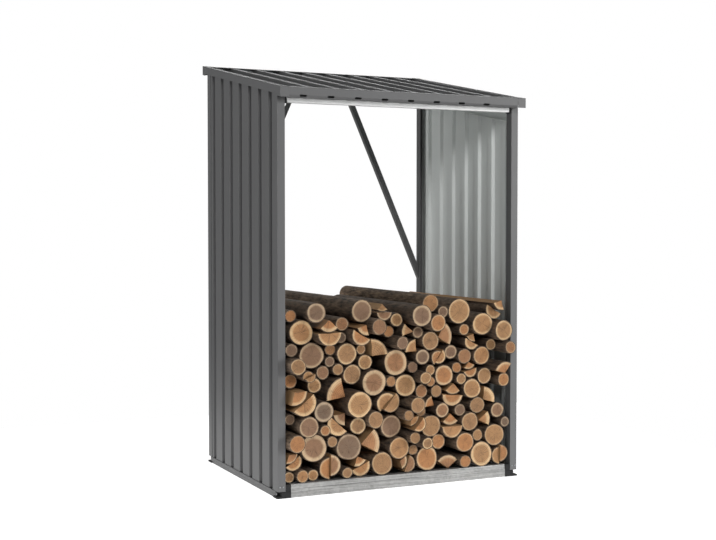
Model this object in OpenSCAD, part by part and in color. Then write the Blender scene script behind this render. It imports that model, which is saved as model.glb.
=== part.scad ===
/* [Store] */
// Width across the outer faces of the side walls
store_w = 1260; // [1000:10:1600]
// Depth across the outer faces of the front and rear posts
store_d = 1000; // [800:10:1300]
// Height of the roof's top edge at the front
front_h = 1850; // [1500:10:2200]
// Slope of the roof, rising to the back
roof_pitch = 11; // [6:0.5:15]

/* [Sheet metal] */
// Thickness of the folded sheet
sheet = 2; // [1.2:0.1:3]
// Distance from one pressed rib or groove to the next
rib_pitch = 135; // [100:1:160]
// Width of a rib at its root
rib_root = 42; // [30:1:50]
// Width of a rib at its crest
rib_crest = 28; // [16:1:36]
// Depth of a groove in a wall
wall_rib = 16; // [8:1:22]
// Height of a rib on the roof
roof_rib = 14; // [8:1:18]

/* [Posts] */
// Width of a post across its front face
post_w = 37; // [30:1:50]
// Depth of a post's outer flange
post_d = 50; // [40:1:60]
// Depth of a post's inner flange
post_inner_d = 46; // [36:1:56]

/* [Roof edge] */
// Overhang of the roof past the posts, front and back
eave = 58; // [40:1:90]
// Overhang of the roof past the side walls
verge = 6; // [5:1:20]
// Height of the front and rear fascia
fascia_h = 46; // [40:1:60]
// Height of the side trims
trim_h = 38; // [34:1:50]
// Width of the flanges folded in over the roof
trim_flange = 26; // [18:1:36]
// Length of a corner cap along each roof edge
cap_len = 42; // [36:1:60]
// Width of a drain slot in the fascia
slot_w = 34; // [16:1:44]
// Height of a drain slot in the fascia
slot_h = 9; // [6:1:12]
// How far the row of drain slots sits to the left of the ribs
slot_shift = 54; // [0:1:60]

/* [Base] */
// Height of the walls and posts above the ground
ground_gap = 31; // [26:1:40]
// Height of the front and rear base rails
sill_h = 61; // [50:1:80]
// Depth of the front and rear base rails
sill_d = 40; // [30:1:50]
// Width of the side base rails
side_sill_w = 44; // [34:1:60]
// Length of a foot along the front
foot_l = 64; // [58:1:90]
// Depth of a foot, front to back
foot_d = 60; // [52:1:80]
// How far a foot's block stands in from the side rail's face
foot_inset = 18; // [14:1:22]
// Thickness of a foot's flange
foot_flange_t = 8; // [5:1:12]
// How far a foot's flange reaches out past the side rail
foot_flange = 4; // [2:1:8]
// Diameter of the anchor hole in a foot's flange
anchor_d = 8; // [6:0.5:10]
// How far a side rail stops short of the posts' front and rear faces
side_sill_stop = 30; // [24:1:34]

/* [Beams and braces] */
// Height of the front and rear beams
beam_h = 40; // [30:1:50]
// Depth of the front and rear beams
beam_d = 30; // [24:1:36]
// Drop from the roof's top line above the post to the beam
beam_drop = 35; // [34:1:60]
// Length of a beam's end bracket
bracket_l = 12; // [10:1:40]
// How far a bracket stands below and behind its beam
bracket_lip = 4; // [2:1:8]
// Drop from the roof's top line to the rail inside the top of a side wall
top_rail_drop = 76; // [60:1:100]
// Height of the rail inside the top of a side wall
top_rail_h = 50; // [30:1:60]
// Leg of the angle that makes a brace
brace_w = 27; // [20:1:36]
// Distance from the middle of the store to a brace's top end
brace_top_x = 160; // [100:1:260]
// Height of a brace's bottom end
brace_foot_z = 1005; // [700:10:1100]

/* [Firewood] */
// Height of the stack above the base rails
stack_h = 850; // [400:10:1100]
// Length of a log
log_l = 970; // [800:10:980]
// Smallest log radius
log_r_min = 26; // [24:1:40]
// Largest log radius
log_r_max = 66; // [50:1:90]
// How unevenly the ends of the logs line up
log_scatter = 30; // [0:2:40]
// How far some logs stand out in front of the others
log_proud = 54; // [0:2:56]
// Number that picks the arrangement of logs
log_seed = 11; // [1:1:99]

/* [Hidden] */
log_courses = 8;

$fn = 32;
gap = 0.3;                              // clearance between pieces that rest on each other
cut = 5;                                // how far a cutting tool passes the face it cuts
half_w = store_w / 2;
half_d = store_d / 2;
roof_w = store_w + 2 * verge;
roof_d = store_d + 2 * eave;
rise = tan(roof_pitch);
upright = 1 / cos(roof_pitch);          // vertical measure of a thickness laid on the slope
ledge_z = ground_gap - gap;             // top of the side rails, which the walls and posts stand on
sheet_drop = sheet * upright + gap;                     // rib crests lie just under the trims' flanges
pan_drop = sheet_drop + (roof_rib + sheet) * upright;   // underside of the roof's flat pans
frame_drop = pan_drop + gap;                            // walls and posts stop just under the pans
sill_face = 2;                          // the end rails and beams stand just behind the posts' faces
hem = 10;                               // slanted lower edge of a fascia
wall_back = sheet + gap + wall_rib + sheet;     // from a post's outer face to the back of a groove
anchor_x = (foot_inset - foot_flange) / 2;      // anchor holes, from the side and end faces
anchor_y = side_sill_stop / 2;
galvanised = [0.66, 0.67, 0.68];
painted = [0.30, 0.31, 0.32];
plastic = [0.08, 0.08, 0.08];
wood = [0.78, 0.60, 0.40];

// Height of the roof's top line above the ground at depth y
function roof_top(y) = front_h + (y + roof_d / 2) * rise;
// Height of a beam's underside, at end sy (-1 front, 1 rear)
function beam_z(sy) = roof_top(sy * half_d) - beam_drop - beam_h;

// Places in a row of n, at a pitch, about the middle
function spaced(n, pitch) = [for (i = [0 : n - 1]) (i - (n - 1) / 2) * pitch];
// How many ribs fit across a sheet
function rib_count(width) = floor((width - rib_root) / rib_pitch) + 1;

// One face of a pressed sheet: flat at h, with a rib to depth d at each centre, widened by grow on each side
function pressed(x, centres, d, h = 0, grow = 0) = concat(
    [[-x, h]],
    [for (c = centres) each [[c - rib_root / 2 - grow, h], [c - rib_crest / 2 - grow, h + d],
                             [c + rib_crest / 2 + grow, h + d], [c + rib_root / 2 + grow, h]]],
    [[x, h]]);
// The outline of a pressed sheet, even in thickness round its bends, from the face at h to the one below it
function pressed_sheet(x, centres, d, h) =
    let (bend = atan2(abs(d), (rib_root - rib_crest) / 2), grow = sheet * tan(bend / 2) * (d < 0 ? 1 : -1),
         back = pressed(x, centres, d, h - sheet, grow))
    concat(pressed(x, centres, d, h), [for (i = [len(back) - 1 : -1 : 0]) back[i]]);

// What is drawn for the left side, on side sx (-1 left, 1 right)
module on_side(sx) { if (sx > 0) mirror([1, 0, 0]) children(); else children(); }
// What is drawn for the front, at end sy (-1 front, 1 rear)
module at_end(sy) { if (sy > 0) mirror([0, 1, 0]) children(); else children(); }

// A side view (depth, height) given the width w from x
module side_view(x, w) { translate([x, 0, 0]) rotate([90, 0, 90]) linear_extrude(w) children(); }

// In the side view: the band between two depths and two drops below the roof's top line
module slope_band(y0, y1, drop0, drop1) {
    polygon([[y0, roof_top(y0) - drop1], [y1, roof_top(y1) - drop1],
             [y1, roof_top(y1) - drop0], [y0, roof_top(y0) - drop0]]);
}

// In the side view: all that lies more than a drop below the roof's top line
module under_slope(drop) {
    y = half_d + cut;
    polygon([[-y, 0], [y, 0], [y, roof_top(y) - drop], [-y, roof_top(-y) - drop]]);
}

// ---- Feet: moulded blocks that carry the corners ----
module foot(sx, sy) {
    color(plastic) on_side(sx) at_end(sy) difference() {
        union() {
            translate([-half_w - foot_flange, -half_d, 0])
                cube([foot_flange + foot_inset + cut, foot_d - 8, foot_flange_t]);
            translate([-half_w + foot_inset, -half_d, 0])
                cube([foot_l - foot_inset, foot_d, ledge_z - sheet - gap]);
            translate([-half_w + post_w + gap, -half_d + sill_face, 0])
                cube([foot_l - post_w - gap, side_sill_stop - sill_face - gap, sill_h - 1]);
        }
        translate([-half_w + anchor_x, -half_d + anchor_y, -cut])
            cylinder(d = anchor_d, h = foot_flange_t + 2 * cut);
    }
}

// ---- Base rails: folded galvanised sections ----
module base_rail_end(sy) {
    l = store_w - 2 * foot_l - 2 * gap;
    step = 3;                           // a joggle pressed along the face
    z_low = 0.60 * sill_h;
    z_high = 0.66 * sill_h;
    color(galvanised) at_end(sy) side_view(-l / 2, l)
        translate([-half_d + sill_face, 0])
        polygon([[0, 0], [sill_d, 0], [sill_d, sheet], [sheet, sheet], [sheet, z_low],
                 [sheet + step, z_high], [sheet + step, sill_h - sheet], [sill_d, sill_h - sheet],
                 [sill_d, sill_h], [step, sill_h], [step, z_high], [0, z_low]]);
}
module base_rail_side(sx) {
    l = store_d - 2 * side_sill_stop;
    foot_end = half_d - foot_d - gap;
    color(galvanised) on_side(sx) difference() {
        translate([-half_w, l / 2, 0]) rotate([90, 0, 0]) linear_extrude(l)
            polygon([[0, 0], [sheet, 0], [sheet, ledge_z - sheet], [side_sill_w - sheet, ledge_z - sheet],
                     [side_sill_w - sheet, 0], [side_sill_w, 0], [side_sill_w, ledge_z], [0, ledge_z]]);
        // Notched over each foot
        for (e = [-1, 1]) translate([-half_w - cut, e > 0 ? foot_end : -foot_end - foot_d, -cut])
            cube([cut + foot_inset, foot_d, cut + foot_flange_t + gap]);
        for (e = [-1, 1]) translate([-half_w + foot_inset, e > 0 ? foot_end : -foot_end - foot_d, -cut])
            cube([side_sill_w, foot_d, cut + ledge_z - sheet]);
    }
}

// ---- Posts: channels folded from sheet, open towards the inside of the store ----
module post(sx, sy) {
    color(painted) on_side(sx) intersection() {
        at_end(sy) translate([-half_w, -half_d, ground_gap]) linear_extrude(2 * front_h)
            polygon([[0, 0], [post_w, 0], [post_w, post_inner_d], [post_w - sheet, post_inner_d],
                     [post_w - sheet, sheet], [sheet, sheet], [sheet, post_d], [0, post_d]]);
        side_view(-half_w - cut, post_w + 2 * cut) under_slope(frame_drop);
    }
}

// ---- Side walls: one pressed sheet each, grooves to the outside ----
module wall(sx) {
    reach = half_d - sheet - gap;
    grooves = spaced(rib_count(2 * (half_d - post_d)), rib_pitch);
    color(painted) on_side(sx) intersection() {
        translate([-half_w + sheet + gap, 0, ground_gap]) rotate([0, 0, 90])
            linear_extrude(2 * front_h) polygon(pressed_sheet(reach, grooves, -wall_rib, 0));
        side_view(-half_w - cut, wall_back + 2 * cut) under_slope(frame_drop);
    }
}

// ---- Top rails: sloped channels inside the top of each side wall ----
module top_rail(sx) {
    y = half_d - post_d - gap;
    x = -half_w + wall_back + gap;
    flange = 18;
    low = top_rail_drop + top_rail_h;
    color(painted) on_side(sx) {
        side_view(x, sheet) slope_band(-y, y, top_rail_drop, low);
        side_view(x, flange) slope_band(-y, y, top_rail_drop, top_rail_drop + sheet);
        side_view(x, flange) slope_band(-y, y, low - sheet, low);
    }
}

// ---- Beams across the front and the back, held at each end in a moulded bracket ----
module beam(sy) {
    l = store_w - 2 * (post_w + bracket_l + gap);
    color(galvanised) translate([0, 0, beam_z(sy)]) at_end(sy) side_view(-l / 2, l)
        translate([-half_d + sill_face, 0]) difference() {
            square([beam_d, beam_h]);
            translate([sheet, sheet]) square([beam_d, beam_h - 2 * sheet]);
        }
}
module bracket(sx, sy) {
    color(plastic) translate([0, 0, beam_z(sy)]) on_side(sx) at_end(sy)
        translate([-half_w + post_w + gap, -half_d + sill_face, -bracket_lip])
        cube([bracket_l - gap, beam_d + bracket_lip, beam_h + bracket_lip]);
}

// ---- Braces: angles in the plane of the back, from the rear beam down to the rear posts ----
module brace(sx) {
    x0 = -half_w + post_w + gap;
    z1 = beam_z(1) - gap;
    y = half_d - sheet - gap - brace_w;
    lean = atan2(-brace_top_x - x0, z1 - brace_foot_z);
    color(painted) on_side(sx) intersection() {
        translate([x0, y, brace_foot_z]) rotate([0, lean, 0])
            translate([0, 0, -4 * brace_w]) linear_extrude(front_h) difference() {
                square(brace_w);
                translate([-sheet, sheet]) square(brace_w);
            }
        translate([x0, y - cut, 0]) cube([half_w, brace_w + 2 * cut, z1]);
    }
}

// ---- Roof: one pressed sheet, ribs up, running down the slope ----
module roof_sheet() {
    inset = sheet + gap + 2;            // clear of the caps and fascias
    x = roof_w / 2 - inset;
    y = -roof_d / 2 + inset + 2 * sheet;
    l = (roof_d / 2 - inset - 2 * sheet - y) * upright;
    outline = pressed_sheet(x, spaced(rib_count(2 * x), rib_pitch), roof_rib, -roof_rib);
    color(painted) translate([0, y, roof_top(y) - sheet_drop]) rotate([roof_pitch - 90, 0, 0])
        linear_extrude(l) mirror([0, 1]) polygon(outline);
}

// ---- Roof edges: folded trims down the sides, fascias across the eaves, caps on the corners ----
module roof_trim(sx) {
    y = roof_d / 2 - cap_len - gap;
    color(painted) on_side(sx) {
        side_view(-roof_w / 2, sheet) slope_band(-y, y, 0, trim_h);
        side_view(-roof_w / 2, trim_flange) slope_band(-y, y, 0, sheet * upright);
        side_view(-roof_w / 2, verge - gap) slope_band(-y, y, trim_h - sheet, trim_h);
    }
}

// The folded section of a fascia in the side view, its outer face at 0 and its top edge at 0
module fascia_section(slope) {
    flange_z = trim_flange * slope;
    t = sheet * upright;
    polygon([[0, 0], [trim_flange, flange_z], [trim_flange, flange_z - t], [sheet, sheet * slope - t],
             [sheet, hem - fascia_h], [hem, sheet - fascia_h], [trim_flange, sheet - fascia_h],
             [trim_flange, -fascia_h], [hem - sheet, -fascia_h], [0, hem - fascia_h]]);
}
module drain_slot() {
    rotate([90, 0, 0]) translate([0, 0, -hem]) linear_extrude(2 * hem) {
        square([slot_w - slot_h, slot_h], center = true);
        for (e = [-1, 1]) translate([e * (slot_w - slot_h) / 2, 0]) circle(d = slot_h);
    }
}
module fascia(sy) {
    l = roof_w - 2 * cap_len - 2 * gap;
    slots = spaced(rib_count(roof_w), rib_pitch);
    color(painted) difference() {
        translate([0, 0, roof_top(sy * roof_d / 2)]) at_end(sy) side_view(-l / 2, l)
            translate([-roof_d / 2, 0]) fascia_section(-sy * rise);
        // Drain slots below the ribs, along the fold of the front fascia
        if (sy < 0) for (x = slots) if (abs(x) + slot_shift + slot_w / 2 + sheet < l / 2)
            translate([x - slot_shift, -roof_d / 2, front_h - fascia_h + 0.8 * hem]) drain_slot();
    }
}

// A corner cap is a shell over the ends of a trim and a fascia
module cap(sx, sy) {
    proud = 1;
    x = roof_w / 2 + proud;
    y = roof_d / 2 + proud;
    l = cap_len + proud;
    color(painted) on_side(sx) intersection() {
        translate([-x, sy < 0 ? -y : y - l, 0]) cube([l, l, 2 * front_h]);
        difference() {
            side_view(-x, l) slope_band(-y, y, -proud, fascia_h);
            side_view(-x + sheet, l) slope_band(-y + sheet, y - sheet, sheet - proud, fascia_h + cut);
        }
    }
}

// ---- Firewood: logs the depth of the store, dropped one by one to the lowest place that holds them ----
stack_x = half_w - post_w - gap;                // half the width between the posts' inner flanges
stack_z = sill_h + gap;                         // the first logs lie on the end rails
site_count = 150;
thin_log = 32;                                  // logs under this radius aren't split
split_share = 0.8;                              // share of thick logs split, where no neighbour is
log_near = 28;                                  // how many of the last logs a new one is tried against

// Radii: mostly middling, with some thin and some thick
sizes = rands(0, 1, site_count, log_seed);
function log_r(i) = log_r_min + (log_r_max - log_r_min) * pow(sizes[i], 1.3);

// A log is [x, z, r]. Where one of radius r touches logs a and b from above
function over_pair(a, b, r) =
    let (ra = a[2] + r + gap, rb = b[2] + r + gap, dx = b[0] - a[0], dz = b[1] - a[1], d = norm([dx, dz]))
    d >= ra + rb || d <= abs(ra - rb) ? [] :
    let (t = (ra * ra - rb * rb + d * d) / (2 * d), h = sqrt(ra * ra - t * t))
    [[a[0] + (t * dx - h * dz) / d, a[1] + (t * dz + h * dx) / d, r],
     [a[0] + (t * dx + h * dz) / d, a[1] + (t * dz - h * dx) / d, r]];
// Where it touches log a and stands on the rails, or leans on a wall
function beside(a, r) =
    let (reach = a[2] + r + gap, dz = stack_z + r - a[1], floor_x = sqrt(max(0, reach * reach - dz * dz)))
    concat([[a[0] + floor_x, stack_z + r, r], [a[0] - floor_x, stack_z + r, r]],
        [for (s = [-1, 1]) let (x = s * (stack_x - r), dx = x - a[0]) if (abs(dx) < reach)
            [x, a[1] + sqrt(reach * reach - dx * dx), r]]);
function is_free(p, logs) =
    abs(p[0]) <= stack_x - p[2] + 0.01 && p[1] >= stack_z + p[2] - 0.01
    && len([for (q = logs) if (norm([p[0] - q[0], p[1] - q[1]]) < p[2] + q[2] + gap - 0.01) 1]) == 0;
function lowest(ps) = let (z = min([for (p = ps) p[1]])) [for (p = ps) if (p[1] == z) p][0];
function place(logs, r) =
    let (n = len(logs), near = [for (i = [max(0, n - log_near) : 1 : n - 1]) logs[i]], m = len(near))
    lowest([for (p = concat(
        [for (s = [-1, 1]) [s * (stack_x - r), stack_z + r, r]],
        [for (a = near) each beside(a, r)],
        [for (i = [0 : 1 : m - 2]) for (j = [i + 1 : 1 : m - 1]) each over_pair(near[i], near[j], r)]))
        if (is_free(p, near) && is_free(p, logs)) p]);
function stacked(i, logs) = i == site_count ? logs : stacked(i + 1, concat(logs, [place(logs, log_r(i))]));

// What a log rests against: [angle from straight down, which log], with -1 for a rail or a post
function touching(logs, i) =
    let (p = logs[i])
    concat([for (j = [0 : len(logs) - 1], q = [logs[j]]) if (j != i && norm([q[0] - p[0], q[1] - p[1]])
                                                            < p[2] + q[2] + gap + 0.1)
                [atan2(q[0] - p[0], p[1] - q[1]), j]],
        [for (s = [-1, 1]) if (stack_x - s * p[0] - p[2] < 0.1) [90 * s, -1]],
        [for (on_rail = [p[1] - p[2] - stack_z]) if (on_rail < 0.1) [0, -1]]);
// The nearest support on each side of straight down
function support_left(angles) = max(concat([-90], [for (a = angles) if (a <= 0) a]));
function support_right(angles) = min(concat([90], [for (a = angles) if (a > 0) a]));
// The logs that were split: thick ones, and never two that touch
function is_in(i, list) = len([for (j = list) if (i == j) 1]) > 0;
function splits(logs, i = 0, found = []) = i == len(logs) ? found
    : splits(logs, i + 1, logs[i][2] > thin_log && rands(0, 1, 1, log_seed + i)[0] < split_share
        && len([for (t = touching(logs, i)) if (is_in(t[1], found)) 1]) == 0 ? concat(found, [i]) : found);

// A split piece of a log of radius l: its heart edge at the origin, its bark facing along turn
module wedge(l, spread, turn) {
    steps = ceil(spread / 8);
    rotate(turn) polygon(concat([[0, 0]],
        [for (k = [0 : steps], a = spread * (k / steps - 0.5)) l * [cos(a), sin(a)]]));
}
module half_log(r, turn, slid) translate(gap / 2 * [cos(turn), sin(turn)] - slid * [sin(turn), -cos(turn)])
    wedge(r - slid - gap, 180, turn);

// One round of the stack: a whole log, or the pieces of a split one, lying on their supports
module log_site(p, i, angles) {
    rnd = rands(0, 1, 6, log_seed + i);
    left = support_left(angles);
    right = support_right(angles);
    between = right - left;
    kind = len(angles) == 0 ? 0 : between > 60 && between < 130 && rnd[1] < 0.5 ? 1 : rnd[1] < 0.8 ? 2 : 3;
    leaning = left + between / 2 + (rnd[5] - 0.5) * (150 - between);
    proud = rnd[2] > 0.78 && p[1] > stack_z + 3 * p[2] ? log_proud : 0;
    for (k = [0 : kind < 2 ? 0 : 1])
        translate([p[0], log_l / 2 + (rnd[3 + k] - 0.5) * log_scatter - proud, p[1]])
            rotate([90, 0, 0]) linear_extrude(log_l)
                if (kind == 0) circle(p[2]);
                else if (kind == 1) rotate((rnd[5] < 0.5 ? left : right) + 90)
                    translate([-p[2], 0]) wedge(2 * p[2] * sin(between / 2), 180 - between, 0);
                else if (kind == 3) half_log(p[2], left + 180 + 180 * k, p[2] / 8);
                else if (k == 0) half_log(p[2], leaning - 90, 0);
                else rotate(leaning - 90) translate([-p[2], 0]) wedge(p[2] - gap, 80 + 30 * rnd[5], 0);
}
module log_course(c) {
    logs = stacked(0, []);
    split = splits(logs);
    color(wood) for (i = [0 : site_count - 1])
        if (logs[i][1] + logs[i][2] < stack_z + stack_h
            && min(log_courses, 1 + floor((logs[i][1] - stack_z) / (stack_h / log_courses))) == c)
            log_site(logs[i], i, is_in(i, split) ? [for (t = touching(logs, i)) t[0]] : []);
}

foot(-1, -1);  // foot_front_left
foot(1, -1);  // foot_front_right
foot(-1, 1);  // foot_rear_left
foot(1, 1);  // foot_rear_right
base_rail_end(-1);  // base_rail_front
base_rail_end(1);  // base_rail_rear
base_rail_side(-1);  // base_rail_left
base_rail_side(1);  // base_rail_right
post(-1, -1);  // post_front_left
post(1, -1);  // post_front_right
post(-1, 1);  // post_rear_left
post(1, 1);  // post_rear_right
wall(-1);  // wall_left
wall(1);  // wall_right
top_rail(-1);  // top_rail_left
top_rail(1);  // top_rail_right
beam(-1);  // beam_front
beam(1);  // beam_rear
bracket(-1, -1);  // bracket_front_left
bracket(1, -1);  // bracket_front_right
bracket(-1, 1);  // bracket_rear_left
bracket(1, 1);  // bracket_rear_right
brace(-1);  // brace_left
brace(1);  // brace_right
roof_sheet();
roof_trim(-1);  // roof_trim_left
roof_trim(1);  // roof_trim_right
fascia(-1);  // fascia_front
fascia(1);  // fascia_rear
cap(-1, -1);  // cap_front_left
cap(1, -1);  // cap_front_right
cap(-1, 1);  // cap_rear_left
cap(1, 1);  // cap_rear_right
log_course(1);  // log_course_1
log_course(2);  // log_course_2
log_course(3);  // log_course_3
log_course(4);  // log_course_4
log_course(5);  // log_course_5
log_course(6);  // log_course_6
log_course(7);  // log_course_7
log_course(8);  // log_course_8
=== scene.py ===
import math
import random

import bmesh
import bpy
from mathutils import Matrix, Vector, noise


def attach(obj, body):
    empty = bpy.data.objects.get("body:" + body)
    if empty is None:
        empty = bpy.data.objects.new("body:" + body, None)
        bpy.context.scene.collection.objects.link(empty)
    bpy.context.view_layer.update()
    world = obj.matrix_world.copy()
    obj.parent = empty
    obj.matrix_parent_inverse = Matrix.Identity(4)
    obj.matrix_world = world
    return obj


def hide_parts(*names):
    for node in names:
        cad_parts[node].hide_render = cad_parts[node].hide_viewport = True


# ---- The store, and where it is seen from ----
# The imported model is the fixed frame: every finished piece below is made from one of its nodes.
# The camera stands at the front left, a little above the middle of the open front.

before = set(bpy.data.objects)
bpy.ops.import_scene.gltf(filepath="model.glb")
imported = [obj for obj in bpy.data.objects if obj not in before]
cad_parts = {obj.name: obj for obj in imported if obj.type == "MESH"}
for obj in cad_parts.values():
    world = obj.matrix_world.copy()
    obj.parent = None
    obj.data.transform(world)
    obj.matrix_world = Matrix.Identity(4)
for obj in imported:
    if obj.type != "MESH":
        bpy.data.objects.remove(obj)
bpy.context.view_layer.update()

camera_data = bpy.data.cameras.new("camera")
camera = bpy.data.objects.new("camera", camera_data)
bpy.context.scene.collection.objects.link(camera)
bpy.context.scene.camera = camera
camera_data.sensor_width = 36.0
camera_data.lens = 62.17
camera_turn = math.radians(24.87)
camera_tilt = math.radians(2.02)
camera.location = (-2.632, -5.677, 1.2305)
camera.rotation_euler = (math.radians(90) - camera_tilt, 0, -camera_turn)

# ---- Feet and brackets ----
# Four moulded feet carry the corners, and four moulded brackets hold the ends of the beams.
# They are black plastic with a fine moulded grain, rounded on every edge.


class Value:
    """A shader value that takes arithmetic: each operation adds its Math node."""

    def __init__(self, finish, socket):
        self.finish = finish
        self.socket = socket

    def math(self, operation, first, second=0.0):
        return self.finish.node("ShaderNodeMath", {"operation": operation}, {0: first, 1: second})

    def __add__(self, other):
        return self.math("ADD", self, other)

    def __radd__(self, other):
        return self.math("ADD", other, self)

    def __sub__(self, other):
        return self.math("SUBTRACT", self, other)

    def __rsub__(self, other):
        return self.math("SUBTRACT", other, self)

    def __mul__(self, other):
        return self.math("MULTIPLY", self, other)

    def __rmul__(self, other):
        return self.math("MULTIPLY", other, self)

    def __pow__(self, other):
        return self.math("POWER", self, other)

    def clamped(self):
        return self.math("MINIMUM", self.math("MAXIMUM", self, 0.0), 1.0)


class Finish:
    """One material: its Principled shader, and the nodes that vary it."""

    def __init__(self, name, roughness=0.5, metallic=0.0):
        self.material = bpy.data.materials.new(name)
        self.material.use_nodes = True
        self.tree = self.material.node_tree
        self.shader = self.tree.nodes["Principled BSDF"]
        self.shader.inputs["Roughness"].default_value = roughness
        self.shader.inputs["Metallic"].default_value = metallic

    def node(self, kind, settings=None, inputs=None, output=0):
        made = self.tree.nodes.new(kind)
        for name, value in (settings or {}).items():
            if name == "stops":
                ramp = made.color_ramp
                while len(ramp.elements) < len(value):
                    ramp.elements.new(1.0)
                for element, (place, colour) in zip(ramp.elements, value):
                    element.position = place
                    element.color = (*colour, 1.0)
            else:
                setattr(made, name, value)
        for name, value in (inputs or {}).items():
            self.feed(made.inputs[name], value)
        return Value(self, made.outputs[output])

    def feed(self, socket, value):
        if isinstance(value, Value):
            self.tree.links.new(value.socket, socket)
        else:
            socket.default_value = value

    def place(self, scale=(1.0, 1.0, 1.0)):
        """A point on the piece, with each axis scaled for a pattern that runs along the piece."""
        point = self.node("ShaderNodeTexCoord", output=3)
        return self.node("ShaderNodeMapping", inputs={"Vector": point, "Scale": scale})

    def noise(self, size, scale=(1.0, 1.0, 1.0), detail=3.0, roughness=0.5, point=None):
        """Soft cloudy noise from 0 to 1 with features about that many metres across."""
        where = point or self.place(scale)
        return self.node("ShaderNodeTexNoise", inputs={
            "Vector": where, "Scale": 1.0 / size, "Detail": detail, "Roughness": roughness})

    def blend(self, factor, first, second):
        """A colour between two."""
        colours = [c if isinstance(c, Value) else (*c, 1.0) for c in (first, second)]
        return self.node("ShaderNodeMix", {"data_type": "RGBA"},
                         {0: factor, 6: colours[0], 7: colours[1]}, output=2)

    def ramp(self, factor, *stops):
        return self.node("ShaderNodeValToRGB", {"stops": stops}, {"Fac": factor})

    def colour(self, value):
        self.feed(self.shader.inputs["Base Color"], value)

    def rough(self, value):
        self.feed(self.shader.inputs["Roughness"], value)

    def bump(self, height, depth):
        """Raises the surface by up to depth metres where height is 1."""
        lifted = self.node("ShaderNodeBump", inputs={
            "Height": height, "Distance": depth, "Strength": 1.0})
        self.feed(self.shader.inputs["Normal"], lifted)


def plastic_finish():
    finish = Finish("black_plastic")
    scuffs = finish.noise(0.012, detail=5.0)
    finish.colour(finish.blend(scuffs, (0.004, 0.004, 0.0044), (0.0088, 0.0088, 0.0092)))
    finish.rough(0.74 + 0.2 * scuffs)
    grain = finish.noise(0.0012, detail=2.0)
    finish.bump(grain, 0.0002)
    return finish.material


MERGE_DISTANCE = 1e-5       # metres within which two corners of a CAD mesh are one
ROUNDED_ANGLE = 20          # degrees; edges over it are rounded
SHADED_ANGLE = 38           # degrees; edges over it stay crisp in the shading
WIDEST_BEVEL = 1.4          # a bevel's faces are at most this many times as wide as its offset
FOOT_ROUNDING = 0.0012
BRACKET_ROUNDING = 0.002


def sharp_edges(bm, angle):
    return [e for e in bm.edges if len(e.link_faces) == 2 and e.calc_face_angle() > math.radians(angle)]


def cad_copy(node):
    """A CAD node as a bmesh, with its triangles joined into whole faces."""
    bm = bmesh.new()
    bm.from_mesh(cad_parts[node].data)
    bmesh.ops.remove_doubles(bm, verts=bm.verts, dist=MERGE_DISTANCE)
    bmesh.ops.dissolve_limit(bm, angle_limit=math.radians(1), verts=bm.verts, edges=bm.edges)
    return bm


def finished(node, materials, bend, segments=2, choose=None):
    """A finished copy of a CAD node: its edges rounded and its materials on."""
    bm = cad_copy(node)
    for face in bm.faces:
        face.material_index = choose(face) if choose else 0
    bmesh.ops.bevel(bm, geom=sharp_edges(bm, ROUNDED_ANGLE), offset=bend, offset_type="OFFSET",
                    segments=segments, profile=0.5, affect="EDGES", clamp_overlap=True, material=-1,
                    loop_slide=True)
    for face in bm.faces:
        longest = max(e.calc_length() for e in face.edges)
        face.smooth = face.calc_area() < WIDEST_BEVEL * bend * longest
    piece = mesh_piece(node + "_finished", bm, materials)
    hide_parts(node)


def mesh_piece(name, bm, materials):
    """A shown piece from a bmesh, riding on the one body."""
    for edge in sharp_edges(bm, SHADED_ANGLE):
        edge.smooth = False
    mesh = bpy.data.meshes.new(name)
    bm.to_mesh(mesh)
    bm.free()
    for material in materials:
        mesh.materials.append(material)
    piece = bpy.data.objects.new(name, mesh)
    bpy.context.scene.collection.objects.link(piece)
    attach(piece, "root")
    return piece


black_plastic = plastic_finish()
for corner in ("front_left", "front_right", "rear_left", "rear_right"):
    finished("foot_" + corner, [black_plastic], FOOT_ROUNDING, segments=3)
    finished("bracket_" + corner, [black_plastic], BRACKET_ROUNDING, segments=3)

# ---- Base rails ----
# Folded from bare galvanised strip and left unpainted, so the mill's rolling streaks run along them.
# The end rails have a joggle pressed along the face, and the side rails are plain channels, coloured darker
# as painted shade.

SHEET_FOLD = 0.0009         # metres, the rounding of a fold in thin sheet
ALONG_X, ALONG_Y = 0, 1


def galvanised_finish(name, dark, light, along, roughness, painted_shade_above=None):
    """Zinc-coated strip with streaks along one axis and a faint spangle, with a painted near-black shade
    above a height.
    """
    finish = Finish(name, roughness=roughness, metallic=0.35)
    stretch = [22.0 if axis != along else 0.6 for axis in range(3)]
    streaks = finish.noise(0.12, scale=stretch, detail=6.0, roughness=0.65)
    spangle = finish.node("ShaderNodeTexVoronoi", {"feature": "F1"},
                          {"Vector": finish.place(), "Scale": 90.0}, output=1)
    spangle = finish.node("ShaderNodeSeparateColor", inputs={"Color": spangle})
    mottle = finish.noise(0.05, detail=4.0)
    tone = (1.9 * (streaks - 0.5) + 0.5 + 0.22 * (spangle - 0.5) + 0.5 * (mottle - 0.5)).clamped()
    colour = finish.blend(tone, dark, light)
    # Painted shade: above the given height the zinc is coloured near-black, standing in for the shade that
    # falls there.
    if painted_shade_above is not None:
        height = finish.node("ShaderNodeSeparateXYZ", inputs={"Vector": finish.place()}, output=2)
        colour = finish.blend(((height - painted_shade_above) * 500.0).clamped(), colour, (0.03, 0.03, 0.03))
    finish.colour(colour)
    finish.rough(roughness - 0.08 + 0.16 * streaks)
    finish.bump(streaks, 0.0003)
    return finish.material


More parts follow.
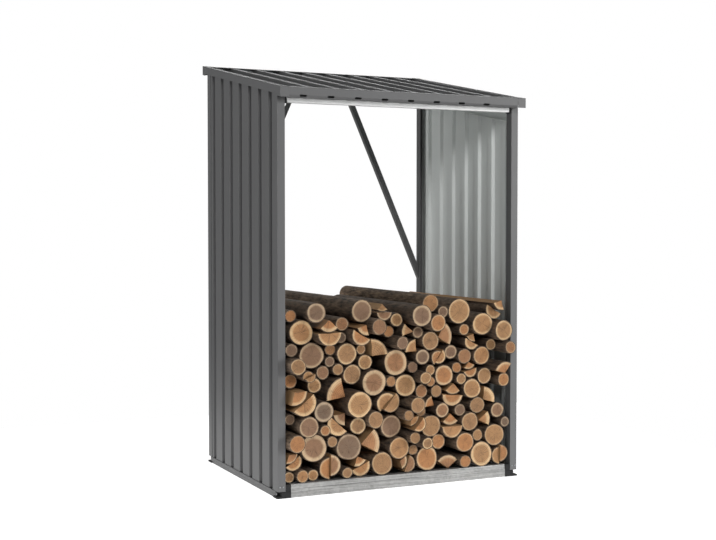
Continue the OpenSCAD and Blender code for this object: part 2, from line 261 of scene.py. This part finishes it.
rail_zinc = galvanised_finish("galvanised_rail", (0.13, 0.13, 0.126), (0.40, 0.40, 0.39), ALONG_X, 0.42)
# The side rails' darker zinc is painted shade: a darker copy of the same zinc for their shaded outer faces.
side_zinc_painted_shade = galvanised_finish(
    "galvanised_side_rail_painted_shade", (0.06, 0.06, 0.06), (0.16, 0.16, 0.16), ALONG_Y, 0.5)
for edge, zinc in (("front", rail_zinc), ("rear", rail_zinc), ("left", side_zinc_painted_shade), ("right", side_zinc_painted_shade)):
    finished("base_rail_" + edge, [zinc], SHEET_FOLD)

# ---- Posts ----
# Each corner post is a channel folded from sheet steel and powder coated dark grey.
# The channels open to the inside of the store and stand on the side rails.


def paint_finish():
    """Satin powder coat: near-even colour, faint cloudiness and a fine orange peel."""
    finish = Finish("dark_grey_paint")
    cloud = finish.noise(0.35, detail=4.0)
    speck = finish.noise(0.004, detail=3.0)
    tone = (0.7 * cloud + 0.3 * speck).clamped()
    finish.colour(finish.blend(tone, (0.084, 0.084, 0.085), (0.104, 0.104, 0.105)))
    finish.rough(0.44 + 0.1 * cloud)
    peel = finish.noise(0.0022, detail=2.0)
    finish.bump(peel, 0.00012)
    return finish.material


dark_paint = paint_finish()
for corner in ("front_left", "front_right", "rear_left", "rear_right"):
    finished("post_" + corner, [dark_paint], SHEET_FOLD)

# ---- Side walls ----
# Each side is one sheet with seven grooves pressed into it, powder coated outside.
# The inner face has only the thin pale backing coat that coil-coated sheet comes with.

RIB_FOLD = 0.0012           # metres, the rounding of a pressed groove
INWARD = 0.2                # how far a face's normal leans inward for it to be on the inner side


def backing_finish():
    finish = Finish("backing_coat")
    cloud = finish.noise(0.5, scale=(1.0, 1.0, 0.35), detail=4.0)
    finish.colour(finish.blend(cloud, (0.62, 0.645, 0.63), (0.70, 0.725, 0.71)))
    finish.rough(0.46 + 0.1 * cloud)
    peel = finish.noise(0.003, detail=2.0)
    finish.bump(peel, 0.0001)
    return finish.material


backing_coat = backing_finish()
finished("wall_left", [dark_paint, backing_coat], RIB_FOLD,
         choose=lambda f: f.normal.x > INWARD)
finished("wall_right", [dark_paint, backing_coat], RIB_FOLD,
         choose=lambda f: f.normal.x < -INWARD)

# ---- Top rails, beams and braces ----
# A sloped channel runs inside the top of each side wall, and a galvanised beam crosses each end.
# Two painted angles brace the back from the rear beam down to the rear posts.

for side in ("left", "right"):
    finished("top_rail_" + side, [backing_coat], SHEET_FOLD)
    finished("brace_" + side, [dark_paint], SHEET_FOLD)
# The front beam is coloured near-black behind the fascia, a painted shade, so that the drain slots read as
# dark.
FASCIA_FOOT = 1.806         # metres, just above the fascia's lower edge
for end, painted_shade_from in (("front", FASCIA_FOOT), ("rear", None)):
    beam_zinc = galvanised_finish(
        "galvanised_beam_" + end, (0.66, 0.66, 0.655), (0.78, 0.78, 0.775), ALONG_X, 0.55,
        painted_shade_above=painted_shade_from)
    finished("beam_" + end, [beam_zinc], SHEET_FOLD)

# ---- Roof ----
# One pressed sheet with its ribs up, painted above and backing coat below.
# Trims fold over its sides, fascias over its ends, and a cap closes each corner.

ROOF_RIB_FOLD = 0.0025      # metres, a softer rounding, which catches the light along each rib

finished("roof_sheet", [dark_paint, backing_coat], ROOF_RIB_FOLD,
         choose=lambda f: f.normal.z < -INWARD)
for side in ("left", "right"):
    finished("roof_trim_" + side, [dark_paint], SHEET_FOLD)
for end in ("front", "rear"):
    finished("fascia_" + end, [dark_paint], SHEET_FOLD)
    for side in ("left", "right"):
        finished(f"cap_{end}_{side}", [dark_paint], SHEET_FOLD)

# ---- Firewood ----
# Logs as long as the store is deep, some whole and some split, with their bark on.
# Each one is worked up from its CAD log: knobbly bark, torn split faces and sawn, checked ends.

RING_SPACING = 0.085        # metres between the rings of points along a log
POINT_SPACING = 0.007       # metres between points round a log
BARK_THICKNESS = 0.0035
BARK, SPLIT, END = 0, 1, 2


def bark_finish():
    """Rough, ridged bark: grey-brown crests and near-black furrows that run along the log."""
    finish = Finish("bark", roughness=0.9)
    around = finish.node("ShaderNodeUVMap", {"uv_map": "grain"})
    furrow_point = finish.node("ShaderNodeMapping", inputs={"Vector": around, "Scale": (1.0, 0.22, 1.0)})
    ridges = finish.noise(0.012, detail=6.0, roughness=0.65, point=furrow_point)
    flakes = finish.noise(0.045, detail=5.0, roughness=0.6, point=furrow_point)
    tone = finish.node("ShaderNodeAttribute", {"attribute_name": "tone"}, output=2)
    height = 0.6 * ridges + 0.4 * flakes
    crest = finish.blend(tone, (0.16, 0.105, 0.066), (0.34, 0.235, 0.15))
    finish.colour(finish.blend((3.2 * (height - 0.40)).clamped(), (0.030, 0.020, 0.014), crest))
    finish.bump(height, 0.004)
    return finish.material


def split_finish():
    """A torn split face: pale fibre with long streaks, and now and then a darker heart."""
    finish = Finish("split_wood", roughness=0.75)
    along = finish.node("ShaderNodeUVMap", {"uv_map": "grain"})
    fibre_point = finish.node("ShaderNodeMapping", inputs={"Vector": along, "Scale": (1.0, 0.035, 1.0)})
    fibre = finish.noise(0.0035, detail=5.0, roughness=0.6, point=fibre_point)
    band = finish.noise(0.03, detail=3.0, point=fibre_point)
    tone = finish.node("ShaderNodeAttribute", {"attribute_name": "tone"}, output=2)
    pale = finish.blend(tone, (0.40, 0.22, 0.095), (0.48, 0.31, 0.155))
    deep = finish.blend(tone, (0.27, 0.135, 0.055), (0.36, 0.20, 0.09))
    finish.colour(finish.blend((0.6 * fibre + 0.9 * (band - 0.3)).clamped(), pale, deep))
    finish.bump(0.7 * fibre + 0.3 * band, 0.0015)
    return finish.material


def end_finish():
    """Sawn end grain: growth rings about the pith, a pale band of sapwood, and dark radial checks."""
    finish = Finish("end_grain", roughness=0.8)
    point = finish.node("ShaderNodeUVMap", {"uv_map": "rings"})
    across, up = (finish.node("ShaderNodeSeparateXYZ", inputs={"Vector": point}, output=i) for i in range(2))
    tone = finish.node("ShaderNodeAttribute", {"attribute_name": "tone"}, output=2)
    hue = finish.node("ShaderNodeAttribute", {"attribute_name": "hue"}, output=2)
    own_place = finish.node("ShaderNodeCombineXYZ", inputs={"X": across, "Y": up, "Z": 40.0 * tone})
    wobble = finish.noise(0.6, detail=3.0, point=own_place)
    radius = (across * across + up * up) ** 0.5 + 0.14 * (wobble - 0.5)
    angle = finish.node("ShaderNodeMath", {"operation": "ARCTAN2"}, {0: up, 1: across})
    heart = finish.ramp(hue, (0.0, (0.30, 0.165, 0.075)), (0.35, (0.37, 0.20, 0.085)),
                        (0.6, (0.42, 0.185, 0.065)), (0.8, (0.23, 0.135, 0.080)),
                        (1.0, (0.17, 0.115, 0.075)))
    sap = finish.ramp(hue, (0.0, (0.62, 0.44, 0.245)), (0.5, (0.64, 0.43, 0.225)),
                      (0.75, (0.54, 0.39, 0.235)), (1.0, (0.46, 0.35, 0.235)))
    band = ((radius - 0.58 - 0.20 * tone) * 6.0).clamped()
    wood = finish.blend(band, heart, sap)
    late = finish.blend(band, (0.13, 0.065, 0.03), (0.22, 0.125, 0.06))
    wave = finish.node("ShaderNodeMath", {"operation": "SINE"}, {0: radius * (42.0 + 45.0 * hue)})
    spacing = finish.noise(0.22, detail=2.0, point=own_place)
    stain = finish.noise(0.45, detail=5.0, point=own_place)
    rings = ((0.30 + 0.30 * wave) * (0.45 + 1.1 * spacing) + 1.3 * (stain - 0.52)).clamped() * 0.75
    wood = finish.blend(rings, wood, late)
    wood = finish.blend(((radius - 0.93) * 14.0).clamped() * 0.7, wood, (0.10, 0.055, 0.03))
    spoke = finish.node("ShaderNodeCombineXYZ", inputs={
        "X": angle * 3.2, "Y": tone * 20.0, "Z": radius * 0.35})
    checks = finish.noise(1.0, detail=2.0, roughness=0.4, point=spoke)
    line = 1.0 - (((checks - 0.5) * (checks - 0.5)) ** 0.5 * 42.0).clamped()
    depth = (line * (1.15 - radius)).clamped() * 0.75
    finish.colour(finish.blend(depth, wood, (0.035, 0.02, 0.012)))
    sawn = finish.noise(0.02, detail=4.0, point=point)
    finish.bump(0.5 * sawn + 0.25 * wave - depth, 0.0016)
    return finish.material


def log_outline(face):
    """The end of a CAD log: its corners in order, the middle of its round, and the round's radius."""
    corners = [Vector((loop.vert.co.x, loop.vert.co.z)) for loop in face.loops]
    count = len(corners)
    sides = [(corners[(i + 1) % count] - corners[i]).length for i in range(count)]
    longest = max(sides)
    long_sides = [i for i in range(count) if sides[i] > 0.6 * longest]
    if len(long_sides) > 4:
        middle = sum(corners, Vector((0, 0))) / count
    elif len(long_sides) == 1:
        first = long_sides[0]
        middle = (corners[first] + corners[(first + 1) % count]) / 2
    else:
        meeting = [i for i in long_sides if (i - 1) % count in long_sides][0]
        middle = corners[meeting]
    radius = max((corner - middle).length for corner in corners)
    return corners, middle, radius, set(long_sides) if len(long_sides) <= 4 else set()


def fine_outline(corners, split_sides):
    """The outline with points at an even spacing, each marked as on bark or on a split face."""
    points = []
    for i, corner in enumerate(corners):
        following = corners[(i + 1) % len(corners)]
        steps = max(1, round((following - corner).length / POINT_SPACING))
        for step in range(steps):
            points.append((corner.lerp(following, step / steps), i in split_sides))
    return points


def weathered(place, core, on_split, lobes, seed):
    """Where a point of the log's outline ends up: always drawn in towards the core, never out."""
    out = Vector((place.x, place.z)) - core
    turn = math.atan2(out.y, out.x)
    if on_split:
        drawn = 0.0016 * (1 + noise.noise(Vector((place.x * 45, place.y * 7, place.z * 45)) + seed))
        drawn += 0.0007 * (1 + noise.noise(Vector((place.x * 320, place.y * 20, place.z * 320)) + seed))
    else:
        drawn = 0.0010 * (1 + noise.noise(Vector((place.x * 170, place.y * 22, place.z * 170)) + seed))
        drawn += out.length * sum(share * (1 + math.cos((k + 2) * turn + phase))
                                  for k, (share, phase) in enumerate(lobes))
    kept = out * (1 - drawn / max(out.length, 0.01))
    return core + kept


def add_log(bm, layers, face, y_near, y_far, rng):
    """Builds one log between two depths from the CAD outline of its end."""
    corners, middle, radius, split_sides = log_outline(face)
    outline = fine_outline(corners, split_sides)
    core = sum(corners, Vector((0, 0))) / len(corners)
    seed = Vector([rng.uniform(0, 50) for _ in range(3)])
    tone, hue = rng.random(), rng.uniform(0.3, 0.75) if split_sides else rng.random()
    slope_x, slope_z = rng.uniform(-0.07, 0.07), rng.uniform(-0.07, 0.07)
    lobes = [(rng.uniform(0.0, 0.016), rng.uniform(0, math.tau)) for _ in range(3)]
    spans = max(2, round((y_far - y_near) / RING_SPACING))

    ring = [bm.verts.new((point.x, y_near, point.y)) for point, _ in outline]
    for number, vert in enumerate(ring):
        vert[layers["step"]] = number
        vert[layers["tone"]] = tone
        vert[layers["hue"]] = hue
    near_end = bm.faces.new(ring)
    grown = bmesh.ops.extrude_face_region(bm, geom=[near_end])["geom"]
    far_ring = [part for part in grown if isinstance(part, bmesh.types.BMVert)]
    far_end = [part for part in grown if isinstance(part, bmesh.types.BMFace)][0]
    bmesh.ops.translate(bm, verts=far_ring, vec=(0, y_far - y_near, 0))
    lengths = [e for v in far_ring for e in v.link_edges if abs(e.verts[0].co.y - e.verts[1].co.y) > 1e-4]
    bmesh.ops.subdivide_edges(bm, edges=lengths, cuts=spans - 1)

    sides = set()
    waiting = list(near_end.verts)
    reached = set(waiting)
    while waiting:
        for side in waiting.pop().link_faces:
            if side not in (near_end, far_end):
                sides.add(side)
                fresh = set(side.verts) - reached
                reached |= fresh
                waiting.extend(fresh)
    count = len(outline)
    for side in sides:
        steps = sorted({round(v[layers["step"]]) for v in side.verts})
        start = steps[-1] if steps == [0, count - 1] else steps[0]
        side.material_index = SPLIT if outline[start][1] else BARK
        for loop in side.loops:
            step = round(loop.vert[layers["step"]])
            round_step = count if step == 0 and start == count - 1 else step
            loop[layers["grain"]].uv = (round_step * POINT_SPACING + seed.x, loop.vert.co.y)
    for vert in reached:
        step = round(vert[layers["step"]])
        on_split = outline[step][1] and outline[step - 1][1]
        place = weathered(vert.co, core, on_split, lobes, seed)
        vert.co.x, vert.co.z = place
        offset = place - core
        vert.co.y += slope_x * offset.x + slope_z * offset.y
    for end in (near_end, far_end):
        end.material_index = END
        rim = bmesh.ops.inset_individual(
            bm, faces=[end], thickness=BARK_THICKNESS, use_even_offset=True)["faces"]
        for edge_face in rim:
            beside = [f.material_index for e in edge_face.edges for f in e.link_faces if f in sides]
            edge_face.material_index = BARK if BARK in beside else END
            for loop in edge_face.loops:
                around = loop.vert[layers["step"]] * POINT_SPACING + seed.x
                loop[layers["grain"]].uv = (around, loop.vert.co.y)
        for part in [end, *rim]:
            for loop in part.loops:
                place = Vector((loop.vert.co.x, loop.vert.co.z))
                loop[layers["rings"]].uv = (place - middle) / radius


def stacked_logs(node, materials, rng):
    """All the logs of one course, as one piece."""
    source = cad_copy(node)
    ends = [f for f in source.faces if f.normal.y < -0.9]
    ends.sort(key=lambda f: (round(f.calc_center_median().x, 4), round(f.calc_center_median().z, 4)))
    bm = bmesh.new()
    layers = {"grain": bm.loops.layers.uv.new("grain"), "rings": bm.loops.layers.uv.new("rings"),
              "tone": bm.verts.layers.float.new("tone"), "hue": bm.verts.layers.float.new("hue"),
              "step": bm.verts.layers.float.new("step")}
    for end in ends:
        y_near = end.calc_center_median().y
        lengths = [e.calc_length() for v in end.verts for e in v.link_edges if e not in end.edges]
        add_log(bm, layers, end, y_near, y_near + max(lengths), rng)
    source.free()
    bmesh.ops.recalc_face_normals(bm, faces=bm.faces)
    for face in bm.faces:
        face.smooth = True
    piece = mesh_piece(node + "_finished", bm, materials)
    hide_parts(node)


wood_materials = [bark_finish(), split_finish(), end_finish()]
log_rng = random.Random(4)
for course in range(1, 9):
    stacked_logs(f"log_course_{course}", wood_materials, log_rng)

# ---- Screws ----
# Two small zinc-plated pan-head screws sit low on each post, on its front or its back face.
# Each is a turned head with a rounded top, sitting against the sheet it holds.

SCREW_RADIUS = 0.0042
SCREW_HEIGHT = 0.0024


def screw_finish():
    finish = Finish("zinc_screw", roughness=0.4, metallic=0.8)
    cloud = finish.noise(0.002, detail=2.0)
    finish.colour(finish.blend(cloud, (0.16, 0.165, 0.17), (0.32, 0.33, 0.34)))
    return finish.material


def add_screw(bm, place, outward):
    """One pan head standing on the surface at place."""
    turn = Vector((0, 0, 1)).rotation_difference(Vector(outward)).to_matrix().to_4x4()
    spot = Matrix.Translation(Vector(place) + Vector(outward) * (SCREW_HEIGHT / 2 - 0.0003)) @ turn
    made = bmesh.ops.create_cone(bm, cap_ends=True, segments=20, radius1=SCREW_RADIUS,
                                 radius2=SCREW_RADIUS * 0.86, depth=SCREW_HEIGHT, matrix=spot)
    rim = [e for e in {e for v in made["verts"] for e in v.link_edges}
           if all((v.co - Vector(place)).dot(Vector(outward)) > SCREW_HEIGHT / 2 for v in e.verts)]
    bmesh.ops.bevel(bm, geom=rim, offset=0.001, offset_type="OFFSET", segments=3, profile=0.5,
                    affect="EDGES", clamp_overlap=True, material=-1)


def screws(name, places):
    """One piece with a screw at each (place, outward direction)."""
    bm = bmesh.new()
    for place, outward in places:
        add_screw(bm, place, outward)
    for face in bm.faces:
        face.smooth = True
    piece = mesh_piece(name, bm, [screw_finish()])


half_width = 0.630          # metres, half the width and half the depth over the posts
half_depth = 0.500
screw_height = 0.052
post_screws = []
for x_side in (-1, 1):
    for y_side in (-1, 1):
        for inset in (0.010, 0.026):
            place = (x_side * (half_width - inset), y_side * half_depth, screw_height)
            post_screws.append((place, (0, y_side, 0)))
screws("post_screws", post_screws)

# ---- Floor, background and lights ----
# A plain pale floor runs under the store, and the world behind it is the same near-white.
# A broad soft light stands at the front right, with weaker ones at the left, behind and in front.

SHADE_EDGE = 0.05           # metres over which the floor's own glow fades out under the store


def stage_floor():
    bm = bmesh.new()
    bmesh.ops.create_grid(bm, x_segments=1, y_segments=1, size=2.0)
    mesh = bpy.data.meshes.new("floor")
    bm.to_mesh(mesh)
    bm.free()
    finish = Finish("floor", roughness=0.9)
    finish.shader.inputs["Base Color"].default_value = (0.86, 0.86, 0.86, 1.0)
    point = finish.place()
    beyond = []
    for axis, half_size in ((0, half_width), (1, half_depth)):
        distance = finish.node("ShaderNodeSeparateXYZ", inputs={"Vector": point}, output=axis)
        distance = (distance * distance) ** 0.5 - (half_size - SHADE_EDGE)
        beyond.append(distance.math("MAXIMUM", distance, 0.0))
    away = (beyond[0] * beyond[0] + beyond[1] * beyond[1]) ** 0.5
    # The floor glows evenly white around the store. Under the store the glow is taken away, a painted shade
    # there.
    glow = (away * (1.0 / SHADE_EDGE)).clamped()
    finish.feed(finish.shader.inputs["Emission Color"], finish.blend(glow, (0.0, 0.0, 0.0), (1.0, 1.0, 1.0)))
    finish.shader.inputs["Emission Strength"].default_value = 0.8
    mesh.materials.append(finish.material)
    floor = bpy.data.objects.new("floor", mesh)
    bpy.context.scene.collection.objects.link(floor)


def soft_light(name, place, aim, width, height, power):
    """A rectangular area light at place that faces aim."""
    data = bpy.data.lights.new(name, "AREA")
    data.shape = "RECTANGLE"
    data.size = width
    data.size_y = height
    data.energy = power
    light = bpy.data.objects.new(name, data)
    light.location = place
    light.rotation_euler = (Vector(aim) - Vector(place)).to_track_quat("-Z", "Y").to_euler()
    bpy.context.scene.collection.objects.link(light)


def surroundings():
    world = bpy.data.worlds.new("surroundings")
    bpy.context.scene.world = world
    world.use_nodes = True
    tree = world.node_tree
    light = tree.nodes["Background"]
    light.inputs["Color"].default_value = (0.97, 0.985, 1.0, 1.0)
    direction = tree.nodes.new("ShaderNodeTexCoord")
    height = tree.nodes.new("ShaderNodeSeparateXYZ")
    tree.links.new(direction.outputs["Generated"], height.inputs[0])
    fade = tree.nodes.new("ShaderNodeMapRange")
    for name, value in (("From Min", 0.0), ("From Max", 0.8), ("To Min", 0.25), ("To Max", 0.10)):
        fade.inputs[name].default_value = value
    tree.links.new(height.outputs["Z"], fade.inputs["Value"])
    tree.links.new(fade.outputs["Result"], light.inputs["Strength"])
    shown = tree.nodes.new("ShaderNodeBackground")
    shown.inputs["Color"].default_value = (1.0, 1.0, 1.0, 1.0)
    shown.inputs["Strength"].default_value = 1.0
    path = tree.nodes.new("ShaderNodeLightPath")
    mix = tree.nodes.new("ShaderNodeMixShader")
    tree.links.new(path.outputs["Is Camera Ray"], mix.inputs[0])
    tree.links.new(light.outputs[0], mix.inputs[1])
    tree.links.new(shown.outputs[0], mix.inputs[2])
    tree.links.new(mix.outputs[0], tree.nodes["World Output"].inputs["Surface"])


stage_floor()
soft_light("key", (9.0, -8.5, 2.4), (0, 0, 1.0), 4.0, 3.5, 920.0)
soft_light("fill", (-6.0, 1.6, 2.6), (-0.6, 0, 1.2), 3.0, 1.6, 150.0)
soft_light("rim", (3.6, 8.0, 4.6), (0, 0, 2.0), 6.0, 1.6, 170.0)
soft_light("front_fill", (-1.5, -7.0, 4.0), (0.6, 0, 1.0), 2.5, 2.0, 240.0)
surroundings()
bpy.context.scene.view_settings.view_transform = "Standard"
